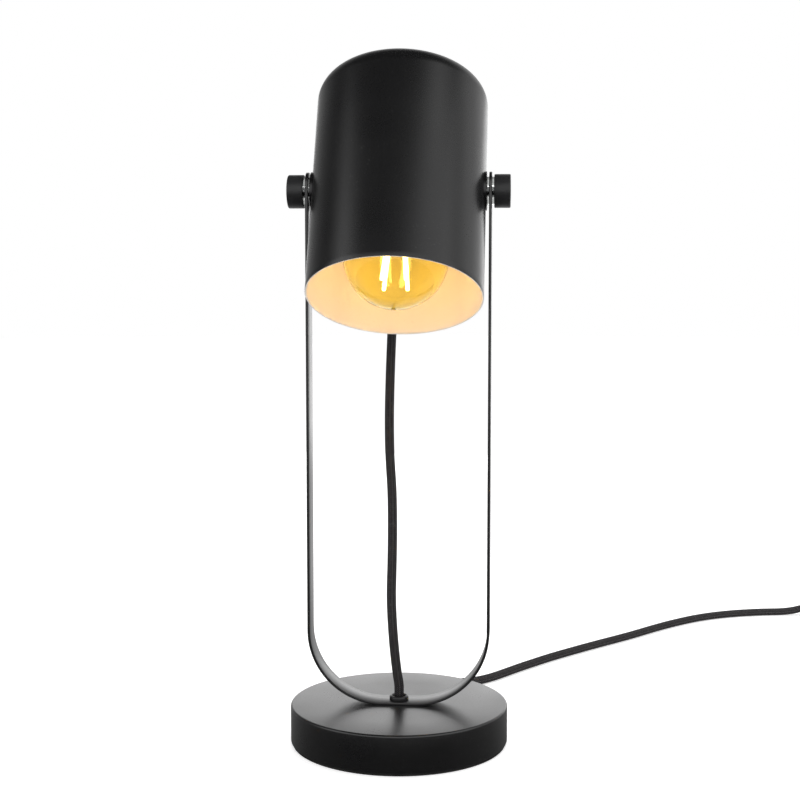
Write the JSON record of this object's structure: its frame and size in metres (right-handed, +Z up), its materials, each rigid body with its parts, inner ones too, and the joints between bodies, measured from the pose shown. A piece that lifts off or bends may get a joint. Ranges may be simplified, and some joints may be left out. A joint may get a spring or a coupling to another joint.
{
  "type": "tabletop searchlight lamp",
  "caption": "Table lamp with a deep round can shade that tilts in a U-shaped flat bar on a round weighted foot, with clamping knobs, a globe bulb and a textile mains lead.",
  "frame": {"origin": "middle of the foot's underside, on the table", "axes": "+Z up, X along the shade's pivot axis with +X to the right seen from the front, -Y to the front, where the shade opens"},
  "size_m": [0.663, 0.5359, 0.512],
  "materials": {
    "black_paint": "matt black powder coat; the shade is coated white inside",
    "cast_iron": "as cast, dark primer",
    "zinc_steel": "zinc plated",
    "brass": "turned",
    "black_plastic": "fine moulded grain",
    "holder_plastic": "smooth heat-proof moulding",
    "rocker_plastic": "smooth",
    "clear_plastic": "milky translucent",
    "pad_rubber": "matt",
    "textile": "fine braid over a flexible lead",
    "ceramic": "glazed insulator",
    "bulb_glass": "clear amber glass",
    "stem_glass": "clear glass",
    "cap_metal": "nickel plated",
    "filament": "glowing coated sticks"
  },
  "bodies": {
    "base": {"base_cover": "black_paint", "base_weight": "cast_iron", "base_plate": "zinc_steel", "base_pad": "pad_rubber", "plate_screws": "zinc_steel", "strap": "black_paint", "gland_bush": "black_plastic", "gland_nipple": "brass", "lock_washer": "zinc_steel", "gland_nut": "brass", "lead_clamp": "black_plastic", "rear_bush": "black_plastic", "inner_lead": "textile", "pendant_lead": "textile", "mains_lead": "textile", "mains_link": "textile", "mains_coil": "textile", "mains_tail": "textile", "coil_tie": "black_plastic", "switch_base": "black_plastic", "switch_cover": "black_plastic", "switch_contacts": "brass", "switch_screws": "zinc_steel", "plug_body": "black_plastic", "plug_pins": "zinc_steel", "plug_sleeves": "black_plastic", "outer_washer_left": "clear_plastic", "outer_washer_right": "clear_plastic"},
    "rocker": {"switch_rocker": "rocker_plastic"},
    "shade": {"shade_shell": "black_paint", "pivot_pad_left": "black_paint", "pivot_pad_right": "black_paint", "pivot_bolt_left": "zinc_steel", "pivot_bolt_right": "zinc_steel", "backing_washer_left": "zinc_steel", "backing_washer_right": "zinc_steel", "inner_washer_left": "clear_plastic", "inner_washer_right": "clear_plastic", "holder_tube": "brass", "holder_nut": "brass", "holder_washer": "zinc_steel", "holder_cap": "holder_plastic", "holder_skirt": "holder_plastic", "holder_shell": "brass", "holder_insulator": "ceramic", "holder_contact": "brass", "holder_lead": "textile", "cord_grip": "black_plastic", "grip_screw": "zinc_steel"},
    "knob_left": {"knob_left": "black_plastic", "knob_insert_left": "brass"},
    "knob_right": {"knob_right": "black_plastic", "knob_insert_right": "brass"},
    "bulb": {"bulb_glass": "bulb_glass", "bulb_cap": "cap_metal", "bulb_insulator": "holder_plastic", "bulb_contact": "cap_metal", "bulb_stem": "stem_glass", "bulb_filament": "filament"}
  },
  "joints": [
    {"name": "shade_tilt", "type": "hinge", "parent": "base", "child": "shade", "pos_m": [0, 0, 0.404], "axis": [1, 0, 0], "range_deg": [-72.7, 27.3], "deforming": ["pendant_lead"]},
    {"name": "knob_left_turn", "type": "hinge", "parent": "shade", "child": "knob_left", "pos_m": [-0.0742, 0, 0.404], "axis": [1, 0, 0], "range_deg": [-180, 0]},
    {"name": "knob_right_turn", "type": "hinge", "parent": "shade", "child": "knob_right", "pos_m": [0.0742, 0, 0.404], "axis": [1, 0, 0], "range_deg": [0, 180]},
    {"name": "bulb_out", "type": "slide", "parent": "shade", "child": "bulb", "axis": [0, -0.4587, -0.8886], "range_m": [0, 0.03]},
    {"name": "rocker_press", "type": "hinge", "parent": "base", "child": "rocker", "pos_m": [0.413, 0.424, 0.015], "axis": [0, 1, 0], "range_deg": [-14, 0]}
  ]
}
